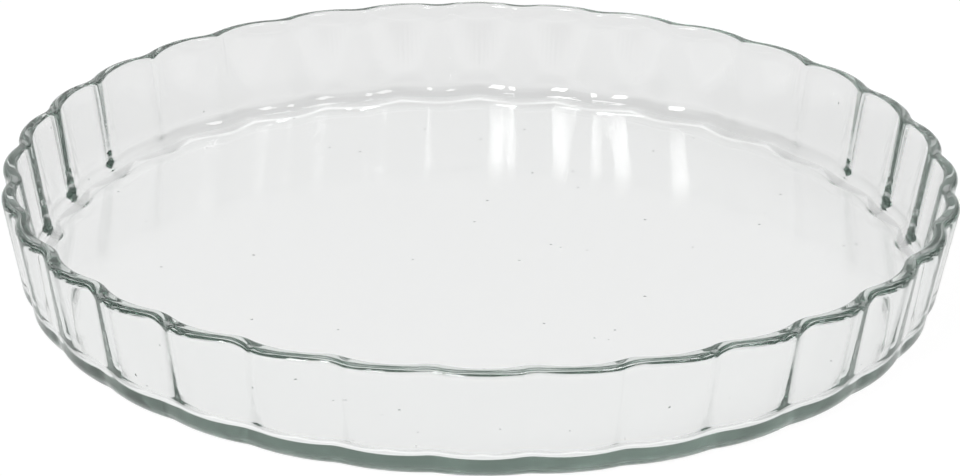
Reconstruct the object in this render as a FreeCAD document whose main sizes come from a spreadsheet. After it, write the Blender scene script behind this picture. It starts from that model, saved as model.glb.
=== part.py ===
import FreeCAD, Part
import math
import os
import re
from dataclasses import dataclass

import Sketcher

# Round fluted baking dish, pressed in one piece from clear glass.
# Frame: millimetres, +Z up, origin in the middle of the underside. One flute crest lies on +X.
# One flute is modelled as a slice of the wall, rounded, and repeated round the axis. A disc closes the floor.

# Driving dimensions: name, value in millimetres (or a count), what it measures.
SIZES = (
    ("rim_diameter", 280.0, "outside, over the flute crests, at the top of the rim"),
    ("base_diameter", 267.3, "outside, over the flute crests, at the underside before its edge is rounded"),
    ("dish_height", 34.5, "underside to the top of the rim"),
    ("wall_thickness", 4.5, "glass in the wall, measured level"),
    ("floor_thickness", 5.0, "glass in the floor"),
    ("flute_count", 32, "flutes round the wall"),
    ("rim_flute_depth", 2.0, "crest to valley of a flute at the rim"),
    ("base_flute_depth", 0.9, "crest to valley of a flute outside, at the underside"),
    ("floor_flute_depth", 1.8, "crest to valley of a flute inside, at the floor"),
    ("valley_radius", 12.0, "rounding along the bottom of an outside valley"),
    ("rib_radius", 12.0, "rounding along the top of an inside rib, between two flutes"),
    ("rim_outer_rounding", 2.0, "rounding of the rim's outside edge"),
    ("rim_inner_rounding", 1.2, "rounding of the rim's inside edge"),
    ("foot_rounding", 6.8, "rounding of the outside edge of the underside"),
    ("corner_rounding", 6.0, "rounding inside, between the floor and the wall"),
)

NODE = "glass_dish"
SHEET = "Sizes"
SAME_LEVEL = 1e-4  # heights closer than this, in millimetres, count as the same
RIM_SHARE = 0.46  # the most of the wall's thickness, square to its faces, that a rim rounding's radius takes


def length(formula):
    """Turns a formula written with bare size names into an expression for a length in millimetres."""
    names = "|".join(name for name, _, _ in SIZES)
    on_sheet = re.sub(rf"\b({names})\b", rf"{SHEET}.\1", formula)
    return f"({on_sheet}) * 1 mm"


def make_sheet(doc):
    """Makes the spreadsheet of driving dimensions, one named cell each."""
    sheet = doc.addObject("Spreadsheet::Sheet", SHEET)
    for row, (name, value, meaning) in enumerate(SIZES, start=1):
        sheet.set(f"A{row}", name)
        sheet.set(f"B{row}", str(value))
        sheet.set(f"C{row}", meaning)
        sheet.setAlias(f"B{row}", name)
    doc.recompute()
    return sheet


def value_of(sheet, expression):
    """What an expression on the sheet's cells comes to, as a plain number."""
    result = sheet.evalExpression(expression)
    return float(getattr(result, "Value", result))


def origin_feature(body, role):
    """The plane or axis of a body's own origin that has this role."""
    return next(feature for feature in body.Origin.OriginFeatures if feature.Role == role)


def level_sketch(body, name, level):
    """Adds an empty level sketch to a body, at a height given by an expression."""
    sketch = body.newObject("Sketcher::SketchObject", name)
    sketch.AttachmentSupport = [(origin_feature(body, "XY_Plane"), "")]
    sketch.MapMode = "FlatFace"
    sketch.setExpression("AttachmentOffset.Base.z", level)
    return sketch


def tie(sketch, constraint, expression):
    """Adds a dimension to a sketch and ties it to the sheet."""
    number = sketch.addConstraint(constraint)
    sketch.setExpression(f"Constraints[{number}]", expression)


# The floor is a plain disc out to here. The repeated flutes start at the same radius, which lies inside the
# wall and its roundings at every level, whichever way the wall leans.
NARROW_END = "min(base_diameter; rim_diameter) / 2"
FLOOR_DISC = length(f"{NARROW_END} - wall_thickness - foot_rounding - 2 * corner_rounding")

# Points of a sketched line or arc, and the sketch's own origin and X axis.
START, END, CENTRE = 1, 2, 3
ORIGIN = (-1, 1)
X_AXIS = -1
UP = FreeCAD.Vector(0, 0, 1)


def polar(distance, angle):
    """The point at this distance from the axis and this angle from +X."""
    return FreeCAD.Vector(distance * math.cos(angle), distance * math.sin(angle), 0)


@dataclass
class Outline:
    """Numbers of the drawn pieces of one flute's outline. Pairs are the piece above the X axis, then below."""

    lobe: int
    crest: int
    valleys: tuple
    sides: tuple
    disc: int


@dataclass
class FluteSection:
    """One flute of a level section: from the floor disc out to the wall's face.

    The face is a lobe that swells out to its crest, with half a round valley at each end. The sizes are
    expressions on the sheet's cells.
    """

    name: str
    level: str
    crest: str
    valley: str
    bend: str

    def draw(self, body, sheet):
        """Adds the section's sketch to the body, with its sizes tied to the sheet."""
        sketch = level_sketch(body, self.name, self.level)
        half_angle = math.pi / value_of(sheet, f"{SHEET}.flute_count")
        outline = self.add_outline(sketch, sheet, half_angle)
        self.join(sketch, outline)
        self.dimension(sketch, outline, half_angle)
        return sketch

    def add_outline(self, sketch, sheet, half_angle):
        """Draws the pieces of the outline in their places."""
        crest, valley, bend = (value_of(sheet, size) for size in (self.crest, self.valley, self.bend))
        disc = value_of(sheet, FLOOR_DISC)
        reach = valley + bend  # distance of the centre of the valley's bend from the axis
        outer = crest + bend
        lobe_centre = (outer**2 - reach**2) / (2 * (outer - reach * math.cos(half_angle)))
        bend_centre = polar(reach, half_angle)
        flank = math.atan2(bend_centre.y, bend_centre.x - lobe_centre)

        def arc(centre, radius, first, last):
            return sketch.addGeometry(Part.ArcOfCircle(Part.Circle(centre, UP, radius), first, last), False)

        lobe = arc(polar(lobe_centre, 0), crest - lobe_centre, -flank, flank)
        crest_point = sketch.addGeometry(Part.Point(polar(crest, 0)), True)
        upper_valley = arc(bend_centre, bend, math.pi + half_angle, math.pi + flank)
        lower_valley = arc(polar(reach, -half_angle), bend, math.pi - flank, math.pi - half_angle)
        sides = tuple(
            sketch.addGeometry(Part.LineSegment(polar(disc, angle), polar(valley, angle)), False)
            for angle in (half_angle, -half_angle)
        )
        disc_arc = arc(polar(0, 0), disc, -half_angle, half_angle)
        return Outline(lobe, crest_point, (upper_valley, lower_valley), sides, disc_arc)

    def join(self, sketch, outline):
        """Joins the pieces end to end, with arcs that run smoothly into each other."""
        lobe, (upper, lower) = outline.lobe, outline.valleys
        joints = [
            Sketcher.Constraint("Coincident", outline.disc, CENTRE, *ORIGIN),
            Sketcher.Constraint("PointOnObject", outline.crest, START, X_AXIS),
            Sketcher.Constraint("PointOnObject", outline.crest, START, lobe),
            Sketcher.Constraint("Tangent", lobe, END, upper, END),
            Sketcher.Constraint("Tangent", lobe, START, lower, START),
            Sketcher.Constraint("Equal", upper, lower),
            Sketcher.Constraint("Equal", *outline.sides),
        ]
        for side, valley, near, far in zip(outline.sides, outline.valleys, (END, START), (START, END)):
            joints += [
                Sketcher.Constraint("Coincident", side, START, outline.disc, near),
                Sketcher.Constraint("Coincident", side, END, valley, far),
                Sketcher.Constraint("PointOnObject", *ORIGIN, side),
                Sketcher.Constraint("PointOnObject", valley, CENTRE, side),
            ]
        sketch.addConstraint(joints)

    def dimension(self, sketch, outline, half_angle):
        """Gives the outline its sizes, each tied to the sheet."""
        upper_side, lower_side = outline.sides
        shapes = sketch.Geometry
        bend = shapes[outline.valleys[0]].Radius
        disc = shapes[outline.disc].Radius
        valley = shapes[upper_side].EndPoint.Length
        crest = shapes[outline.crest].X
        turn = f"180 deg / {SHEET}.flute_count"
        tie(sketch, Sketcher.Constraint("Angle", X_AXIS, START, upper_side, START, half_angle), turn)
        tie(sketch, Sketcher.Constraint("Angle", lower_side, START, X_AXIS, START, half_angle), turn)
        tie(sketch, Sketcher.Constraint("Distance", *ORIGIN, upper_side, END, valley), self.valley)
        tie(sketch, Sketcher.Constraint("Radius", outline.disc, disc), FLOOR_DISC)
        tie(sketch, Sketcher.Constraint("Radius", outline.valleys[0], bend), self.bend)
        tie(sketch, Sketcher.Constraint("DistanceX", *ORIGIN, outline.crest, START, crest), self.crest)


# Outer face of the wall, at the underside and at the rim.
OUTSIDE = (
    FluteSection(
        name="OutsideBase",
        level=length("0"),
        crest=length("base_diameter / 2"),
        valley=length("base_diameter / 2 - base_flute_depth"),
        bend=length("valley_radius"),
    ),
    FluteSection(
        name="OutsideRim",
        level=length("dish_height"),
        crest=length("rim_diameter / 2"),
        valley=length("rim_diameter / 2 - rim_flute_depth"),
        bend=length("valley_radius"),
    ),
)

# Inner face of the wall, at the floor and at the rim.
# Its crests lie inside the outer ones by the wall's thickness.
RISE = "floor_thickness / dish_height"
FLOOR_CREST = f"(base_diameter + (rim_diameter - base_diameter) * {RISE}) / 2 - wall_thickness"
INSIDE = (
    FluteSection(
        name="InsideFloor",
        level=length("floor_thickness"),
        crest=length(FLOOR_CREST),
        valley=length(f"{FLOOR_CREST} - floor_flute_depth"),
        bend=length("rib_radius"),
    ),
    FluteSection(
        name="InsideRim",
        level=length("dish_height"),
        crest=length("rim_diameter / 2 - wall_thickness"),
        valley=length("rim_diameter / 2 - wall_thickness - rim_flute_depth"),
        bend=length("rib_radius"),
    ),
)


def loft(body, kind, name, sections, sheet):
    """Adds a straight-sided loft between two sections, additive or subtractive."""
    lower, upper = (section.draw(body, sheet) for section in sections)
    body.Document.recompute()
    feature = body.newObject(f"PartDesign::{kind}", name)
    feature.Profile = lower
    feature.Sections = [upper]
    feature.Ruled = True
    body.Document.recompute()
    return feature


def curved_edges(shape, level):
    """The curved edges that lie at a level, from the outermost inwards, by name."""
    found = []
    for number, edge in enumerate(shape.Edges, start=1):
        box = edge.BoundBox
        lies_level = max(abs(box.ZMin - level), abs(box.ZMax - level)) < SAME_LEVEL
        if lies_level and not isinstance(edge.Curve, Part.Line):
            middle = edge.valueAt((edge.FirstParameter + edge.LastParameter) / 2)
            found.append((math.hypot(middle.x, middle.y), f"Edge{number}"))
    return [name for _, name in sorted(found, reverse=True)]


def round_edges(body, name, base, edges, radius):
    """Rounds edges of the flute to a radius given by an expression."""
    feature = body.newObject("PartDesign::Fillet", name)
    feature.Base = (base, edges)
    feature.setExpression("Radius", radius)
    body.Document.recompute()
    return feature


def round_flute(body, flute, sheet):
    """Rounds the inside corner, the foot and both edges of the rim."""
    floor_level = value_of(sheet, length("floor_thickness"))
    rim_level = value_of(sheet, length("dish_height"))
    face = 3  # one face of a flute has this many arcs: a lobe and two halves of valleys
    corner = curved_edges(flute.Shape, floor_level)[:face]
    flute = round_edges(body, "CornerRounding", flute, corner, length("corner_rounding"))
    foot = curved_edges(flute.Shape, 0)[:face]
    flute = round_edges(body, "FootRounding", flute, foot, length("foot_rounding"))
    slope = "(rim_diameter - base_diameter) / 2 / dish_height"
    square_wall = f"wall_thickness / sqrt(1 + ({slope}) ^ 2)"
    rim_inside = curved_edges(flute.Shape, rim_level)[face:]
    limited = length(f"min(rim_inner_rounding; {RIM_SHARE} * {square_wall})")
    flute = round_edges(body, "RimInnerRounding", flute, rim_inside, limited)
    rim_outside = curved_edges(flute.Shape, rim_level)[:face]
    limited = length(f"min(rim_outer_rounding; {RIM_SHARE} * {square_wall})")
    return round_edges(body, "RimOuterRounding", flute, rim_outside, limited)


def repeat_round_axis(body):
    """Repeats the finished flute round the axis, so that the slices close into a ring."""
    ring = body.newObject("PartDesign::PolarPattern", "FluteRing")
    ring.TransformMode = "Whole shape"
    ring.Axis = (origin_feature(body, "Z_Axis"), [""])
    ring.Angle = 360
    ring.setExpression("Occurrences", f"{SHEET}.flute_count")
    ring.Refine = False
    body.Tip = ring
    body.Document.recompute()
    return ring


def close_floor(body, sheet):
    """Fills the ring with the floor disc, flush with it above and below."""
    sketch = level_sketch(body, "FloorCircle", length("0"))
    radius = value_of(sheet, FLOOR_DISC)
    circle = sketch.addGeometry(Part.Circle(polar(0, 0), UP, radius), False)
    sketch.addConstraint(Sketcher.Constraint("Coincident", circle, CENTRE, *ORIGIN))
    tie(sketch, Sketcher.Constraint("Radius", circle, radius), FLOOR_DISC)
    body.Document.recompute()
    floor = body.newObject("PartDesign::Pad", "FloorDisc")
    floor.Profile = sketch
    floor.setExpression("Length", length("floor_thickness"))
    floor.Refine = True
    body.Tip = floor
    body.Document.recompute()
    return floor


def check(doc, body):
    """Stops if a feature failed or the dish is not one sound solid."""
    for thing in doc.Objects:
        if "Invalid" in thing.State or "Error" in thing.State:
            raise RuntimeError(f"{thing.Label} did not compute: {thing.State}")
    shape = body.Shape
    if shape.isNull() or not shape.isValid() or len(shape.Solids) != 1:
        raise RuntimeError(f"{body.Label} is not one sound solid")


def main():
    """Builds the dish and writes its STEP file."""
    doc = FreeCAD.newDocument("fluted_dish")
    sheet = make_sheet(doc)
    body = doc.addObject("PartDesign::Body", NODE)
    body.Label = NODE
    blank = loft(body, "AdditiveLoft", "FluteBlank", OUTSIDE, sheet)
    flute = loft(body, "SubtractiveLoft", "FluteHollow", INSIDE, sheet)
    if flute.Shape.Volume >= blank.Shape.Volume:
        raise RuntimeError("the hollow took nothing away")
    round_flute(body, flute, sheet)
    repeat_round_axis(body)
    close_floor(body, sheet)
    check(doc, body)
    os.makedirs("parts", exist_ok=True)
    body.Shape.exportStep(f"parts/{NODE}.step")
    print(f"{NODE}: {body.Shape.Volume / 1000:.1f} cm3, {len(body.Shape.Faces)} faces")


main()
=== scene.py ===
"""Looks of a round fluted pie dish of clear pressed glass: its mesh, finish, studio and camera."""

import logging
import math
from dataclasses import dataclass, field
from enum import Enum

import bmesh
import bpy
import numpy as np
from mathutils import Matrix, Vector


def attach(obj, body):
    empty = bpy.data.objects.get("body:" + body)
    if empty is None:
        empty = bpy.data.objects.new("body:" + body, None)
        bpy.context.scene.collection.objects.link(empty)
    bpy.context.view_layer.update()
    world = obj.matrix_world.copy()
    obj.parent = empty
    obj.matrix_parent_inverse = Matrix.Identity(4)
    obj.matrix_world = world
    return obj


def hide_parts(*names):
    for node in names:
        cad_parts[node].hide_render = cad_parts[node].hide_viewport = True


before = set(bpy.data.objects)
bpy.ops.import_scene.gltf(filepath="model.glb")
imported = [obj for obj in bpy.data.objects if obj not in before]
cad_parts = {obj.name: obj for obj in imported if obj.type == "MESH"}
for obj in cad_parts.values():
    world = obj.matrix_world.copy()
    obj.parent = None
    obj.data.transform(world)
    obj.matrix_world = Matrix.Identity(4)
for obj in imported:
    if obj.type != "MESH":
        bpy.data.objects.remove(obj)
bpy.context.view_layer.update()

LOG = logging.getLogger("pie_dish")
MM = 0.001
FLUTES = 32
LIGHT_BOUNCES = 200
WHITE = (1, 1, 1, 1)
FLATTEN = (1, 1, 0)

Tree = bpy.types.NodeTree
Socket = bpy.types.NodeSocket
Value = Socket | float | tuple[float, ...]


class Face(Enum):
    """The two faces of the dish's wall."""

    OUTSIDE = "outside"
    INSIDE = "inside"


class Blend(Enum):
    """How a ramp goes from its start to its end."""

    STRAIGHT = "LINEAR"
    SOFT = "SMOOTHSTEP"


def feed(tree: Tree, value: Value, socket: Socket) -> None:
    """Gives an input of a node its value.

    Args:
        tree: The node tree.
        value: A socket that is linked to the input, or a plain value that it is set to.
        socket: The input.
    """
    if isinstance(value, Socket):
        tree.links.new(value, socket)
    else:
        socket.default_value = value


def work_out(tree: Tree, kind: str, operation: str, *terms: Value) -> bpy.types.Node:
    """Adds a Math or Vector Math node.

    Args:
        tree: The node tree that takes it.
        kind: Type of the node.
        operation: What it works out.
        terms: Its inputs in order.

    Returns:
        The node.
    """
    node = tree.nodes.new(kind)
    node.operation = operation
    for term, socket in zip(terms, node.inputs):
        feed(tree, term, socket)
    return node


def reckon(tree: Tree, operation: str, *terms: Value) -> Socket:
    """Adds a Math node and gives the socket of its result."""
    return work_out(tree, "ShaderNodeMath", operation, *terms).outputs["Value"]


def move(tree: Tree, operation: str, *terms: Value) -> Socket:
    """Adds a Vector Math node and gives the socket of its vector."""
    return work_out(tree, "ShaderNodeVectorMath", operation, *terms).outputs["Vector"]


def measure(tree: Tree, operation: str, *terms: Value) -> Socket:
    """Adds a Vector Math node and gives the socket of its number."""
    return work_out(tree, "ShaderNodeVectorMath", operation, *terms).outputs["Value"]


def part_along(tree: Tree, vector: Socket, axis: str) -> Socket:
    """Adds a node that picks one coordinate of a vector.

    Args:
        tree: The node tree that takes it.
        vector: The vector.
        axis: X, Y or Z.

    Returns:
        A socket with the coordinate.
    """
    node = tree.nodes.new("ShaderNodeSeparateXYZ")
    feed(tree, vector, node.inputs[0])
    return node.outputs[axis]


def ramp(
    tree: Tree,
    value: Socket,
    over: tuple[float, float],
    start: Value = 0.0,
    end: Value = 1.0,
    blend: Blend = Blend.STRAIGHT,
) -> Socket:
    """Adds a node that goes from one level to another over a stretch and stays even beyond it.

    Args:
        tree: The node tree that takes it.
        value: The value that it follows.
        over: Where the stretch starts and ends.
        start: The level before the stretch.
        end: The level after the stretch.
        blend: How it goes from one to the other.

    Returns:
        A socket with the level.
    """
    node = tree.nodes.new("ShaderNodeMapRange")
    node.interpolation_type = blend.value
    feed(tree, value, node.inputs["Value"])
    feed(tree, over[0], node.inputs["From Min"])
    feed(tree, over[1], node.inputs["From Max"])
    feed(tree, start, node.inputs["To Min"])
    feed(tree, end, node.inputs["To Max"])
    return node.outputs["Result"]


def empty_tree(owner: bpy.types.Material | bpy.types.World) -> Tree:
    """Gives a material or world an empty node tree.

    Args:
        owner: The material or world.

    Returns:
        The node tree.
    """
    owner.use_nodes = True
    owner.node_tree.nodes.clear()
    return owner.node_tree


def towards(azimuth: float, elevation: float) -> Vector:
    """Direction from the dish to a place round it.

    Args:
        azimuth: Degrees round the dish, from -Y.
        elevation: Degrees above the horizon.

    Returns:
        The direction, one unit long.
    """
    turn, rise = math.radians(azimuth), math.radians(elevation)
    return Vector((math.sin(turn) * math.cos(rise), -math.cos(turn) * math.cos(rise), math.sin(rise)))


@dataclass(frozen=True)
class FluteArcs:
    """Level sections of the fluted wall: lobes of one radius, with a round valley between each two.

    Args:
        count: Flutes round the wall.
        crest: Distance of the lobes' crests from the axis, one for each point.
        valley: Distance of the valleys' bottoms from the axis, one for each point.
        bend: Radius of the valleys.
    """

    count: int
    crest: np.ndarray
    valley: np.ndarray
    bend: float

    def radius(self, angle: np.ndarray) -> np.ndarray:
        """Distance of the wall's face from the axis.

        Args:
            angle: Direction of each point from the axis, in radians. A crest lies at 0.

        Returns:
            The distance for each point, in the unit of the sizes.
        """
        half = math.pi / self.count
        turn = np.abs((angle + half) % (2 * half) - half)
        reach = self.valley + self.bend
        outer = self.crest + self.bend
        # Lobe and valley meet without a kink, so the point where they meet lies in line with both centres.
        centre = (outer**2 - reach**2) / (2 * (outer - reach * math.cos(half)))
        lobe = self.crest - centre
        flank = np.arctan2(reach * math.sin(half), reach * math.cos(half) - centre)
        touch = np.arctan2(lobe * np.sin(flank), centre + lobe * np.cos(flank))
        on_lobe = centre * np.cos(turn) + np.sqrt(np.maximum(lobe**2 - (centre * np.sin(turn)) ** 2, 0))
        short = half - turn
        on_bend = reach * np.cos(short) - np.sqrt(np.maximum(self.bend**2 - (reach * np.sin(short)) ** 2, 0))
        return np.where(turn <= touch, on_lobe, on_bend)


@dataclass(frozen=True)
class FootScallop:
    """Distance from the dish's axis, reckoned further out at the ribs, for rings scalloped like the foot.

    Args:
        flutes: Flutes round the dish.
        sway: How far a ring is drawn in at the ribs, in metres.
        name: What the node group is called.
    """

    flutes: int = FLUTES
    sway: float = 0.004
    name: str = "foot_scallop"

    def group(self) -> Tree:
        """Makes the node group, once for all materials.

        Returns:
            The group, from a place to its distance.
        """
        found = bpy.data.node_groups.get(self.name)
        if found:
            return found
        tree = bpy.data.node_groups.new(self.name, "ShaderNodeTree")
        tree.interface.new_socket("Place", in_out="INPUT", socket_type="NodeSocketVector")
        tree.interface.new_socket("Distance", in_out="OUTPUT", socket_type="NodeSocketFloat")
        place = tree.nodes.new("NodeGroupInput").outputs["Place"]
        result = tree.nodes.new("NodeGroupOutput").inputs["Distance"]
        turn = reckon(tree, "ARCTAN2", part_along(tree, place, "Y"), part_along(tree, place, "X"))
        wave = reckon(tree, "SINE", reckon(tree, "MULTIPLY", turn, self.flutes / 2))
        out = measure(tree, "LENGTH", move(tree, "MULTIPLY", place, FLATTEN))
        feed(tree, reckon(tree, "MULTIPLY_ADD", reckon(tree, "ABSOLUTE", wave), self.sway, out), result)
        return tree

    def add(self, tree: Tree, place: Socket) -> Socket:
        """Adds the group to a material.

        Args:
            tree: The material's node tree.
            place: The place on the surface.

        Returns:
            A socket with the distance at each place.
        """
        node = tree.nodes.new("ShaderNodeGroup")
        node.node_tree = self.group()
        feed(tree, place, node.inputs["Place"])
        return node.outputs["Distance"]


@dataclass(frozen=True)
class GlassFinish:
    """Clear pressed glass with a faint grey-green depth, soft ripples and a matt ring to stand on.

    Lengths are in metres.

    Args:
        ior: Refractive index.
        depth_colour: Red, green and blue of the glass in depth. The nearer to 1, the less it absorbs.
        density: How strongly the depth absorbs.
        ripple_size: Ripples per metre.
        ripple_detail: Octaves of finer ripples over the large ones.
        ripple_height: Height of the ripples.
        ring_matt: Roughness of the ring under the foot.
        ring_inside: Distances from the axis at which the ring starts and is full.
        ring_top: Levels at which the ring starts to fade and ends.
        floor_soft: Roughness of the floor inside the dish.
        floor_above: Levels at which the floor's soft polish starts and is full.
        floor_edge: Distances from the underside's middle at which the soft polish starts to fade and ends.
        seeds: Cells per metre that hold a seed each.
        seed_reach: How far a seed reaches, as a share of a cell.
        seed_height: Height of a seed.
    """

    ior: float = 1.5
    depth_colour: tuple[float, float, float] = (0.11, 0.30, 0.21)
    density: float = 6.0
    ripple_size: float = 45.0
    ripple_detail: float = 1.0
    ripple_height: float = 0.00002
    ring_matt: float = 0.6
    ring_inside: tuple[float, float] = (0.131, 0.1325)
    ring_top: tuple[float, float] = (0.0012, 0.0020)
    floor_soft: float = 0.1
    floor_above: tuple[float, float] = (0.003, 0.004)
    floor_edge: tuple[float, float] = (0.116, 0.121)
    seeds: float = 90.0
    seed_reach: float = 0.045
    seed_height: float = 0.0002

    def material(self) -> bpy.types.Material:
        """Makes the material.

        Returns:
            The material.
        """
        material = bpy.data.materials.new("clear_pressed_glass")
        tree = empty_tree(material)
        output = tree.nodes.new("ShaderNodeOutputMaterial")
        place = tree.nodes.new("ShaderNodeTexCoord").outputs["Object"]
        glass = tree.nodes.new("ShaderNodeBsdfPrincipled")
        glass.inputs["Base Color"].default_value = WHITE
        glass.inputs["IOR"].default_value = self.ior
        glass.inputs["Transmission Weight"].default_value = 1.0
        matt = reckon(tree, "ADD", self.standing_ring(tree, place), self.soft_floor(tree, place))
        feed(tree, matt, glass.inputs["Roughness"])
        feed(tree, self.relief(tree, place), glass.inputs["Normal"])
        depth = tree.nodes.new("ShaderNodeVolumeAbsorption")
        depth.inputs["Color"].default_value = (*self.depth_colour, 1)
        depth.inputs["Density"].default_value = self.density
        feed(tree, glass.outputs["BSDF"], output.inputs["Surface"])
        feed(tree, depth.outputs["Volume"], output.inputs["Volume"])
        return material

    def relief(self, tree: Tree, place: Socket) -> Socket:
        """Adds nodes for the ripples and seeds in the glass's face.

        Args:
            tree: The node tree that takes them.
            place: The place on the dish.

        Returns:
            A socket with the normal at each place.
        """
        ripple = tree.nodes.new("ShaderNodeTexNoise")
        ripple.inputs["Scale"].default_value = self.ripple_size
        ripple.inputs["Detail"].default_value = self.ripple_detail
        feed(tree, place, ripple.inputs["Vector"])
        seed = tree.nodes.new("ShaderNodeTexVoronoi")
        seed.inputs["Scale"].default_value = self.seeds
        feed(tree, place, seed.inputs["Vector"])
        peak = self.seed_height / self.ripple_height
        bead = ramp(tree, seed.outputs["Distance"], (0.0, self.seed_reach), peak, 0.0, Blend.SOFT)
        bump = tree.nodes.new("ShaderNodeBump")
        bump.inputs["Strength"].default_value = 1.0
        bump.inputs["Distance"].default_value = self.ripple_height
        feed(tree, reckon(tree, "ADD", ripple.outputs["Fac"], bead), bump.inputs["Height"])
        return bump.outputs["Normal"]

    def standing_ring(self, tree: Tree, place: Socket) -> Socket:
        """Adds nodes for the matt ring under the foot that the dish stands on.

        Args:
            tree: The node tree that takes them.
            place: The place on the dish.

        Returns:
            A socket with the roughness at each place.
        """
        low = ramp(tree, part_along(tree, place, "Z"), self.ring_top, self.ring_matt, 0.0)
        outer = ramp(tree, FootScallop().add(tree, place), self.ring_inside)
        return reckon(tree, "MULTIPLY", low, outer)

    def soft_floor(self, tree: Tree, place: Socket) -> Socket:
        """Adds nodes for the slightly soft polish of the floor inside the dish.

        Args:
            tree: The node tree that takes them.
            place: The place on the dish.

        Returns:
            A socket with the roughness at each place.
        """
        high = ramp(tree, part_along(tree, place, "Z"), self.floor_above, 0.0, self.floor_soft)
        inner = ramp(tree, measure(tree, "LENGTH", place), self.floor_edge, 1.0, 0.0)
        return reckon(tree, "MULTIPLY", high, inner)


@dataclass
class GlassDish:
    """The dish: a flat floor and a low wall that leans out in shallow flutes to a rounded, scalloped rim.

    Sizes are in millimetres.

    Args:
        rim_diameter: Over the crests at the rim, a hair less than the CAD model's.
        base_diameter: Over the crests at the foot, before its rounding.
        height: From the underside to the rim.
        wall: Thickness of the wall.
        floor: Thickness of the floor.
        flutes: Flutes round the wall.
        rim_depth: Depth of the flutes at the rim.
        base_depth: Depth of the flutes outside, at the foot.
        floor_depth: Depth of the flutes inside, at the floor.
        valley_radius: Bend of the valleys outside.
        rib_radius: Bend of the ribs inside.
        rim_outside: Rounding of the rim's outer edge.
        rim_inside: Rounding of the rim's inner edge.
        foot_rounding: Rounding of the foot.
        corner_rounding: Rounding between floor and wall, inside.
        calm_middle: Share of the flat floor's radius that the flutes leave round.
        steps_per_flute: Faces round each flute.
        corner_steps: Faces across the rounding between floor and wall.
        rim_steps: Faces across each rounding of the rim.
        foot_steps: Faces across the rounding of the foot.
        straight_cuts: Cuts across each straight stretch of the section.
        crowding: How much closer the faces lie at the valleys than at the crests.
        weld: Points nearer than this are one.
        finish: What the dish is made of.
    """

    rim_diameter: float = 279.96
    base_diameter: float = 267.3
    height: float = 34.5
    wall: float = 4.5
    floor: float = 5.0
    flutes: int = FLUTES
    rim_depth: float = 2.0
    base_depth: float = 0.9
    floor_depth: float = 1.8
    valley_radius: float = 12.0
    rib_radius: float = 12.0
    rim_outside: float = 2.0
    rim_inside: float = 1.2
    foot_rounding: float = 6.8
    corner_rounding: float = 6.0
    calm_middle: float = 0.7
    steps_per_flute: int = 32
    corner_steps: int = 20
    rim_steps: int = 10
    foot_steps: int = 24
    straight_cuts: int = 5
    crowding: float = 0.25
    weld: float = 0.0001
    finish: GlassFinish = field(default_factory=GlassFinish)

    def build(self) -> bpy.types.Object:
        """Models the dish.

        Returns:
            The bare piece.
        """
        shape = bmesh.new()
        self.draw_profile(shape)
        self.spin(shape)
        mesh = bpy.data.meshes.new("glass_dish_visual")
        shape.to_mesh(mesh)
        shape.free()
        self.flute(mesh)
        mesh.polygons.foreach_set("use_smooth", [True] * len(mesh.polygons))
        piece = bpy.data.objects.new("fluted_glass", mesh)
        bpy.context.scene.collection.objects.link(piece)
        return piece

    def dress(self, piece: bpy.types.Object) -> None:
        """Gives the piece its finish."""
        piece.data.materials.append(self.finish.material())

    def crest(self, level: float | np.ndarray) -> float | np.ndarray:
        """Distance of the outer crests from the axis at a level."""
        return (self.base_diameter + (self.rim_diameter - self.base_diameter) * level / self.height) / 2

    def drop(self, face: Face, level: np.ndarray, angle: np.ndarray) -> np.ndarray:
        """How far a face of the wall lies inside its crests.

        Args:
            face: The face of the wall.
            level: Height of each point above the underside.
            angle: Direction of each point from the axis, in radians.

        Returns:
            The distance inwards for each point, in millimetres.
        """
        inside = face is Face.INSIDE
        low, foot = (self.floor_depth, self.floor) if inside else (self.base_depth, 0.0)
        depth = low + (self.rim_depth - low) * (level - foot) / (self.height - foot)
        crest = self.crest(level) - (self.wall if inside else 0.0)
        bend = self.rib_radius if inside else self.valley_radius
        arcs = FluteArcs(self.flutes, crest, crest - depth, bend)
        return crest - arcs.radius(angle)

    def draw_profile(self, shape: bmesh.types.BMesh) -> None:
        """Draws half of the section through two crests: corners first, then their roundings.

        Args:
            shape: Empty mesh that takes the section.
        """
        corners = (
            (0.0, self.floor),
            (self.crest(self.floor) - self.wall, self.floor),
            (self.crest(self.height) - self.wall, self.height),
            (self.crest(self.height), self.height),
            (self.crest(0.0), 0.0),
            (0.0, 0.0),
        )
        verts = [shape.verts.new((r * MM, 0.0, z * MM)) for r, z in corners]
        for pair in zip(verts, verts[1:]):
            shape.edges.new(pair)
        # A rounding takes up its radius times the tangent of half the turn, along each side of its corner.
        lean = math.atan2(self.crest(self.height) - self.crest(0.0), self.height)
        wide = math.tan((math.pi / 2 - lean) / 2)
        narrow = math.tan((math.pi / 2 + lean) / 2)
        for vert, radius, share, segments in (
            (verts[1], self.corner_rounding, wide, self.corner_steps),
            (verts[2], self.rim_inside, wide, self.rim_steps),
            (verts[3], self.rim_outside, narrow, self.rim_steps),
            (verts[4], self.foot_rounding, wide, self.foot_steps),
        ):
            bmesh.ops.bevel(
                shape,
                geom=[vert],
                offset=radius * share * MM,
                offset_type="OFFSET",
                affect="VERTICES",
                segments=segments,
                profile=0.5,
                material=-1,
            )
        straight = [edge for edge in shape.edges if edge.calc_length() > self.wall * MM]
        bmesh.ops.subdivide_edges(shape, edges=straight, cuts=self.straight_cuts)

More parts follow.
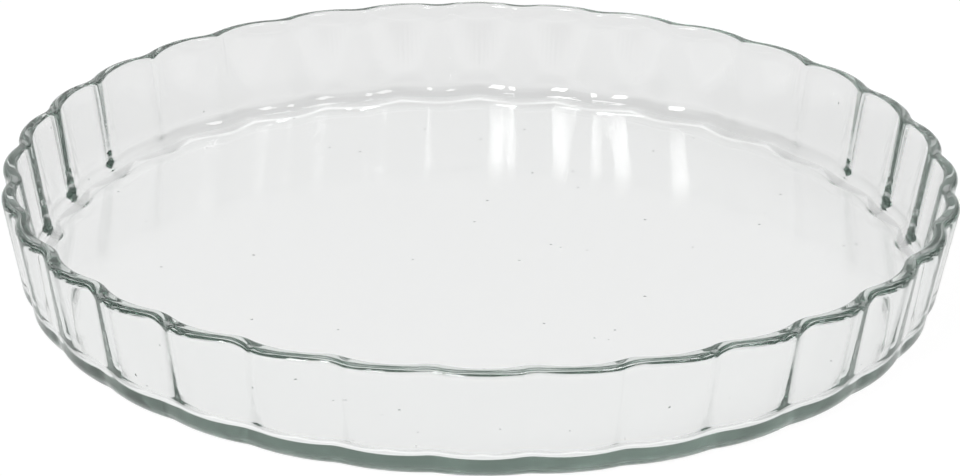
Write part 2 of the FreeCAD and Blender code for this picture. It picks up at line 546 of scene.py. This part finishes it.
    def spin(self, shape: bmesh.types.BMesh) -> None:
        """Turns the section through one flute and repeats that slice round the axis into a plain dish.

        Args:
            shape: The section, which becomes the plain dish.
        """
        pitch = 2 * math.pi / self.flutes
        bmesh.ops.spin(
            shape,
            geom=shape.verts[:] + shape.edges[:],
            cent=(0, 0, 0),
            axis=(0, 0, 1),
            dvec=(0, 0, 0),
            angle=pitch,
            steps=self.steps_per_flute,
        )
        flute = shape.verts[:] + shape.edges[:] + shape.faces[:]
        for number in range(1, self.flutes):
            copy = bmesh.ops.duplicate(shape, geom=flute)["geom"]
            moved = [item for item in copy if isinstance(item, bmesh.types.BMVert)]
            turn = Matrix.Rotation(number * pitch, 3, "Z")
            bmesh.ops.rotate(shape, verts=moved, cent=(0, 0, 0), matrix=turn)
        bmesh.ops.remove_doubles(shape, verts=shape.verts[:], dist=self.weld * MM)
        bmesh.ops.recalc_face_normals(shape, faces=shape.faces[:])

    def flute(self, mesh: bpy.types.Mesh) -> None:
        """Presses the flutes into the plain dish, with more steps near the valleys than on the crests.

        Args:
            mesh: The plain dish, in metres.
        """
        points = np.empty(len(mesh.vertices) * 3)
        mesh.vertices.foreach_get("co", points)
        x, y, z = points.reshape(-1, 3).T / MM
        plain = np.arctan2(y, x)
        angle = plain + self.crowding * np.sin(self.flutes * plain) / self.flutes
        radius = np.hypot(x, y)
        radius = radius - self.inwards(radius, z, angle)
        fluted = np.column_stack((radius * np.cos(angle), radius * np.sin(angle), z)) * MM
        mesh.vertices.foreach_set("co", fluted.ravel())
        mesh.update()

    def inwards(self, radius: np.ndarray, level: np.ndarray, angle: np.ndarray) -> np.ndarray:
        """How far the flutes draw in the points of the plain dish.

        Args:
            radius: Distance of each point from the axis.
            level: Height of each point above the underside.
            angle: Direction of each point from the axis.

        Returns:
            The distance for each point, in millimetres.
        """
        # 0 on the outer face and the underside, 1 on the inner face and the floor.
        across = np.clip((self.crest(level) - radius) / self.wall, 0, 1)
        across = np.where(level < self.floor / 2, 0, across)
        flat_edge = self.crest(0.0) - self.wall - self.foot_rounding - self.corner_rounding
        calm = self.calm_middle * flat_edge
        fade = np.clip((radius - calm) / (flat_edge - calm), 0, 1)
        outside = self.drop(Face.OUTSIDE, level, angle)
        inside = self.drop(Face.INSIDE, level, angle)
        return fade * ((1 - across) * outside + across * inside)


@dataclass(frozen=True)
class SoftBox:
    """A soft box that faces the dish.

    Args:
        name: What the lamp is called.
        brightness: How bright its face is.
        elevation: Degrees above the horizon.
        azimuth: Degrees round the dish, from -Y.
        size: Width and height, in metres.
        distance: Metres from the dish.
    """

    name: str
    brightness: float
    elevation: float
    azimuth: float
    size: tuple[float, float]
    distance: float = 2.5

    def build(self) -> None:
        """Adds the lamp to the scene."""
        lamp = bpy.data.lights.new(self.name, "AREA")
        lamp.shape = "RECTANGLE"
        lamp.size, lamp.size_y = self.size
        lamp.energy = self.brightness * math.pi * self.size[0] * self.size[1]
        box = bpy.data.objects.new(self.name, lamp)
        way = towards(self.azimuth, self.elevation)
        box.location = way * self.distance
        box.rotation_euler = way.to_track_quat("Z", "Y").to_euler()
        bpy.context.scene.collection.objects.link(box)


@dataclass(frozen=True)
class WhiteTable:
    """White table with a long bright patch, soft shade round the dish and rings of both at its foot.

    Lengths are in metres.

    Args:
        reach: How far it reaches from the dish each way.
        level: Its level, a hair below the dish's underside.
        paper: Grey level of its face.
        to_camera: Its glow to the camera.
        through_glass: Its glow in the bright patch, to rays that the dish bends or mirrors.
        far: The same far from the patch.
        share_to_camera: Share of the glow in what the camera sees. The rest is lit by the lamps.
        share_through_glass: The same for rays that the dish bends or mirrors.
        lit_middle: Middle of the bright patch.
        lit_size: Half its width and half its length.
        lit_fade: Where the patch starts to fade and where it ends, in patch sizes from its middle.
        shade: Share of the glow that is left in the shade.
        shade_spread: Distances at which the shade starts and is full. It has no end further out.
        shade_shift: Place of the shade's middle to the right of the dish's.
        foot_light: Share of the glow that the ring of light adds.
        foot_light_spread: Distances at which that ring starts, is full, is full still and ends.
        foot_shade: Share of the glow that the ring of shade takes away.
        foot_shade_spread: Distances as for the ring of light.
        foot_fade: Distances before or behind the dish's middle at which the rings start to show and are full.
    """

    reach: float = 20.0
    level: float = -0.0001
    paper: float = 0.9
    to_camera: float = 1.08
    through_glass: float = 0.99
    far: float = 0.15
    share_to_camera: float = 0.88
    share_through_glass: float = 0.88
    lit_middle: tuple[float, float] = (0.0, 0.9)
    lit_size: tuple[float, float] = (0.45, 1.3)
    lit_fade: tuple[float, float] = (1.0, 3.0)
    shade: float = 0.9
    shade_spread: tuple[float, float] = (0.11, 0.15)
    shade_shift: float = -0.012
    foot_light: float = 0.25
    foot_light_spread: tuple[float, float, float, float] = (0.129, 0.131, 0.131, 0.1335)
    foot_shade: float = 0.15
    foot_shade_spread: tuple[float, float, float, float] = (0.1345, 0.139, 0.142, 0.150)
    foot_fade: tuple[float, float] = (0.07, 0.11)

    def build(self) -> bpy.types.Object:
        """Lays the table under the dish.

        Returns:
            The bare table.
        """
        shape = bmesh.new()
        bmesh.ops.create_grid(shape, x_segments=1, y_segments=1, size=self.reach)
        bmesh.ops.translate(shape, verts=shape.verts[:], vec=(0, 0, self.level))
        mesh = bpy.data.meshes.new("table")
        shape.to_mesh(mesh)
        shape.free()
        table = bpy.data.objects.new("table", mesh)
        bpy.context.scene.collection.objects.link(table)
        return table

    def dress(self, table: bpy.types.Object) -> None:
        """Gives the table its white face.

        Args:
            table: The bare table.
        """
        material = bpy.data.materials.new("white_table")
        tree = empty_tree(material)
        output = tree.nodes.new("ShaderNodeOutputMaterial")
        place = tree.nodes.new("ShaderNodeTexCoord").outputs["Object"]
        path = tree.nodes.new("ShaderNodeLightPath")
        paper = tree.nodes.new("ShaderNodeBsdfDiffuse")
        paper.inputs["Color"].default_value = (self.paper, self.paper, self.paper, 1)
        shaded = reckon(tree, "MULTIPLY", self.lit_patch(tree, place), self.shade_round_dish(tree, place))
        lit = reckon(tree, "MULTIPLY", shaded, self.rings_at_foot(tree, place))
        glow = tree.nodes.new("ShaderNodeEmission")
        seen = ramp(tree, path.outputs["Is Camera Ray"], (0.0, 1.0), lit, self.to_camera)
        feed(tree, seen, glow.inputs["Color"])
        mix = tree.nodes.new("ShaderNodeMixShader")
        feed(tree, self.glow_share(tree, path), mix.inputs[0])
        feed(tree, paper.outputs[0], mix.inputs[1])
        feed(tree, glow.outputs[0], mix.inputs[2])
        feed(tree, mix.outputs[0], output.inputs["Surface"])
        table.data.materials.append(material)

    def glow_share(self, tree: Tree, path: bpy.types.Node) -> Socket:
        """Adds nodes that tell the rays that show the table from those that only light others.

        Args:
            tree: The node tree that takes them.
            path: The node that tells kinds of rays apart.

        Returns:
            A socket with the share of the glow, which is 0 for rays that only light others.
        """
        bent = reckon(tree, "MAXIMUM", path.outputs["Is Glossy Ray"], path.outputs["Is Transmission Ray"])
        part = reckon(tree, "MULTIPLY", bent, self.share_through_glass)
        return reckon(tree, "MULTIPLY_ADD", path.outputs["Is Camera Ray"], self.share_to_camera, part)

    def lit_patch(self, tree: Tree, place: Socket) -> Socket:
        """Adds nodes for the long bright patch that runs from the dish to the back.

        Args:
            tree: The node tree that takes them.
            place: The place on the table.

        Returns:
            A socket with the glow at each place.
        """
        shifted = move(tree, "SUBTRACT", place, (*self.lit_middle, 0))
        shrunk = move(tree, "MULTIPLY", shifted, (1 / self.lit_size[0], 1 / self.lit_size[1], 0))
        away = measure(tree, "LENGTH", shrunk)
        return ramp(tree, away, self.lit_fade, self.through_glass, self.far, Blend.SOFT)

    def shade_round_dish(self, tree: Tree, place: Socket) -> Socket:
        """Adds nodes for the soft shade round the dish, which leaves the table under its floor bright.

        Args:
            tree: The node tree that takes them.
            place: The place on the table.

        Returns:
            A socket with the share of the glow at each place.
        """
        flat = move(tree, "MULTIPLY_ADD", place, FLATTEN, (-self.shade_shift, 0, 0))
        away = measure(tree, "LENGTH", flat)
        return ramp(tree, away, self.shade_spread, 1.0, self.shade, Blend.SOFT)

    def rings_at_foot(self, tree: Tree, place: Socket) -> Socket:
        """Adds nodes for the ring of light under the foot's round edge and the ring of shade beside it.

        Args:
            tree: The node tree that takes them.
            place: The place on the table.

        Returns:
            A socket with the gain at each place, which is 1 away from the rings.
        """
        distance = FootScallop().add(tree, place)
        depth = reckon(tree, "ABSOLUTE", part_along(tree, place, "Y"))
        shown = ramp(tree, depth, self.foot_fade, blend=Blend.SOFT)
        light = self.ring(tree, distance, self.foot_light_spread, self.foot_light)
        shade = self.ring(tree, distance, self.foot_shade_spread, -self.foot_shade)
        return reckon(tree, "MULTIPLY_ADD", reckon(tree, "ADD", light, shade), shown, 1.0)

    def ring(
        self,
        tree: Tree,
        distance: Socket,
        spread: tuple[float, float, float, float],
        strength: float,
    ) -> Socket:
        """Adds nodes for a soft ring on the table.

        Args:
            tree: The node tree that takes them.
            distance: The distance from the dish's axis at each place.
            spread: Distances at which the ring starts, is full, is full still and ends.
            strength: What the ring adds where it is full.

        Returns:
            A socket with what the ring adds at each place.
        """
        rise = ramp(tree, distance, spread[:2], 0.0, strength, Blend.SOFT)
        fall = ramp(tree, distance, spread[2:], 1.0, 0.0, Blend.SOFT)
        return reckon(tree, "MULTIPLY", rise, fall)


@dataclass(frozen=True)
class Room:
    """Room that is white to the camera, and to all else grey with a bright backdrop and dark sides.

    Args:
        grey: Brightness of the room in general.
        backdrop: Brightness of the backdrop behind the dish.
        backdrop_elevation: Degrees of the backdrop's middle above the horizon.
        backdrop_spread: Cosines, from the backdrop's middle, at which it starts and is full.
        sides: Brightness of the dark sides.
        side_spread: Sideways shares of a direction at which the sides start and are full.
        side_shift: How far the middle between the sides lies to the left.
    """

    grey: float = 0.15
    backdrop: float = 0.9
    backdrop_elevation: float = 20.0
    backdrop_spread: tuple[float, float] = (0.26, 0.64)
    sides: float = 0.08
    side_spread: tuple[float, float] = (0.4, 0.85)
    side_shift: float = 0.12

    def build(self) -> None:
        """Makes the room the scene's world."""
        world = bpy.data.worlds.new("room")
        tree = empty_tree(world)
        output = tree.nodes.new("ShaderNodeOutputWorld")
        way = tree.nodes.new("ShaderNodeTexCoord").outputs["Generated"]
        path = tree.nodes.new("ShaderNodeLightPath")
        lit = tree.nodes.new("ShaderNodeBackground")
        feed(tree, self.brightness(tree, way), lit.inputs["Strength"])
        white = tree.nodes.new("ShaderNodeBackground")
        white.inputs["Color"].default_value = WHITE
        mix = tree.nodes.new("ShaderNodeMixShader")
        feed(tree, path.outputs["Is Camera Ray"], mix.inputs[0])
        feed(tree, lit.outputs[0], mix.inputs[1])
        feed(tree, white.outputs[0], mix.inputs[2])
        feed(tree, mix.outputs[0], output.inputs["Surface"])
        bpy.context.scene.world = world

    def brightness(self, tree: Tree, way: Socket) -> Socket:
        """Adds nodes for the room's brightness.

        Args:
            tree: The node tree that takes them.
            way: The direction from the dish.

        Returns:
            A socket with the brightness in each direction.
        """
        rise = math.radians(self.backdrop_elevation)
        facing = measure(tree, "DOT_PRODUCT", way, (0, math.cos(rise), math.sin(rise)))
        back = ramp(tree, facing, self.backdrop_spread, self.grey, self.backdrop, Blend.SOFT)
        shifted = reckon(tree, "ADD", part_along(tree, way, "X"), self.side_shift)
        return ramp(tree, reckon(tree, "ABSOLUTE", shifted), self.side_spread, back, self.sides, Blend.SOFT)


@dataclass(frozen=True)
class Studio:
    """White table, grey room, and two soft boxes above the camera, one on each side of it.

    Args:
        table: What the dish stands on.
        room: What is round the table.
        boxes: The lamps.
    """

    table: WhiteTable = WhiteTable()
    room: Room = Room()
    boxes: tuple[SoftBox, ...] = (
        SoftBox(name="main_soft_box", brightness=13.0, elevation=43.0, azimuth=-30.0, size=(0.7, 1.0)),
        SoftBox(name="side_soft_box", brightness=6.0, elevation=52.0, azimuth=60.0, size=(0.7, 0.7)),
    )

    def build(self) -> None:
        """Sets up the table, the room and the lamps."""
        self.table.dress(self.table.build())
        self.room.build()
        for box in self.boxes:
            box.build()


@dataclass(frozen=True)
class PhotoCamera:
    """Camera at the photograph's viewpoint.

    Args:
        distance: Metres from the middle of the rim.
        elevation: Degrees above the horizon.
        azimuth: Degrees round the dish, from -Y.
        tilt: Degrees by which it looks below the middle of the rim.
        roll: Degrees by which it leans.
        lens: Focal length in millimetres.
        sensor: Width of the sensor in millimetres.
        aim_level: Height of the middle of the rim, in metres.
        sight: How far it sees, in metres.
    """

    distance: float = 1.0304
    elevation: float = 22.743
    azimuth: float = -0.526
    tilt: float = 1.201
    roll: float = 0.807
    lens: float = 132.04
    sensor: float = 36.0
    aim_level: float = 0.0345
    sight: float = 100.0

    def build(self) -> None:
        """Adds the camera and makes it the scene's."""
        data = bpy.data.cameras.new("photo_camera")
        data.sensor_fit = "HORIZONTAL"
        data.sensor_width = self.sensor
        data.lens = self.lens
        data.clip_end = self.sight
        camera = bpy.data.objects.new("photo_camera", data)
        way = towards(self.azimuth, self.elevation)
        place = Matrix.Translation(Vector((0, 0, self.aim_level)) + way * self.distance)
        look = way.to_track_quat("Z", "Y").to_matrix().to_4x4()
        tilt = Matrix.Rotation(math.radians(-self.tilt), 4, "X")
        roll = Matrix.Rotation(math.radians(self.roll), 4, "Z")
        camera.matrix_world = place @ look @ tilt @ roll
        bpy.context.scene.collection.objects.link(camera)
        bpy.context.scene.camera = camera


def main() -> None:
    """Builds the camera, the studio and the dish."""
    logging.basicConfig(level=logging.INFO, format="%(name)s: %(message)s")
    scene = bpy.context.scene
    scene.view_settings.view_transform = "Standard"
    scene.cycles.max_bounces = LIGHT_BOUNCES
    scene.cycles.glossy_bounces = LIGHT_BOUNCES
    scene.cycles.transmission_bounces = LIGHT_BOUNCES
    PhotoCamera().build()
    LOG.info("camera: at the viewpoint of the photograph")
    Studio().build()
    LOG.info("studio: table, room and lamps")
    glass = GlassDish()
    dish = glass.build()
    glass.dress(dish)
    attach(dish, "root")
    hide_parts("glass_dish")
    LOG.info("%s: %d faces", dish.name, len(dish.data.polygons))


if __name__ == "__main__":
    main()
